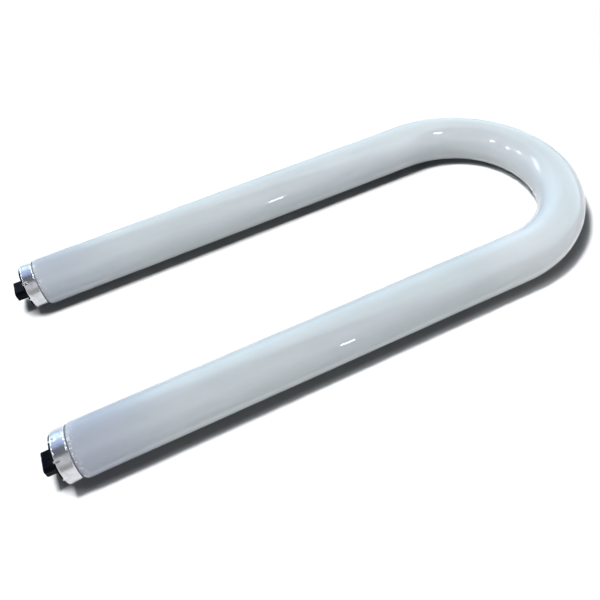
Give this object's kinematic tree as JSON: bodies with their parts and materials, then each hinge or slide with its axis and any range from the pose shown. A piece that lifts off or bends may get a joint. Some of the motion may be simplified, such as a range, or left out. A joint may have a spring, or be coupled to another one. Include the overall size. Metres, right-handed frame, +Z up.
{
  "type": "u shaped fluorescent bulb",
  "caption": "White-coated fluorescent lamp bent into a U and lying flat, with a short metal cap and a black oblong recessed-contact boss on each end.",
  "frame": {"origin": "under the middle of the lamp's box, on the surface that the tube lies on", "axes": "+X along the legs towards the bend, +Y across from the right leg to the left leg, +Z up from the surface"},
  "size_m": [0.4557, 0.203, 0.038],
  "materials": {
    "coated_glass": "smooth clear glass over a white inner coating, opaque",
    "cap_aluminium": "bright drawn aluminium",
    "black_moulding": "semi-gloss moulded thermoset",
    "basing_cement": "matt baked cement",
    "contact_brass": "bright",
    "lead_wire": "drawn wire"
  },
  "bodies": {
    "root": {"glass_tube": "coated_glass", "left_cap_shell": "cap_aluminium", "right_cap_shell": "cap_aluminium", "left_insulator": "black_moulding", "right_insulator": "black_moulding", "left_basing_cement": "basing_cement", "right_basing_cement": "basing_cement", "left_inner_contact": "contact_brass", "left_outer_contact": "contact_brass", "right_inner_contact": "contact_brass", "right_outer_contact": "contact_brass", "left_inner_lead": "lead_wire", "left_outer_lead": "lead_wire", "right_inner_lead": "lead_wire", "right_outer_lead": "lead_wire"}
  },
  "joints": []
}
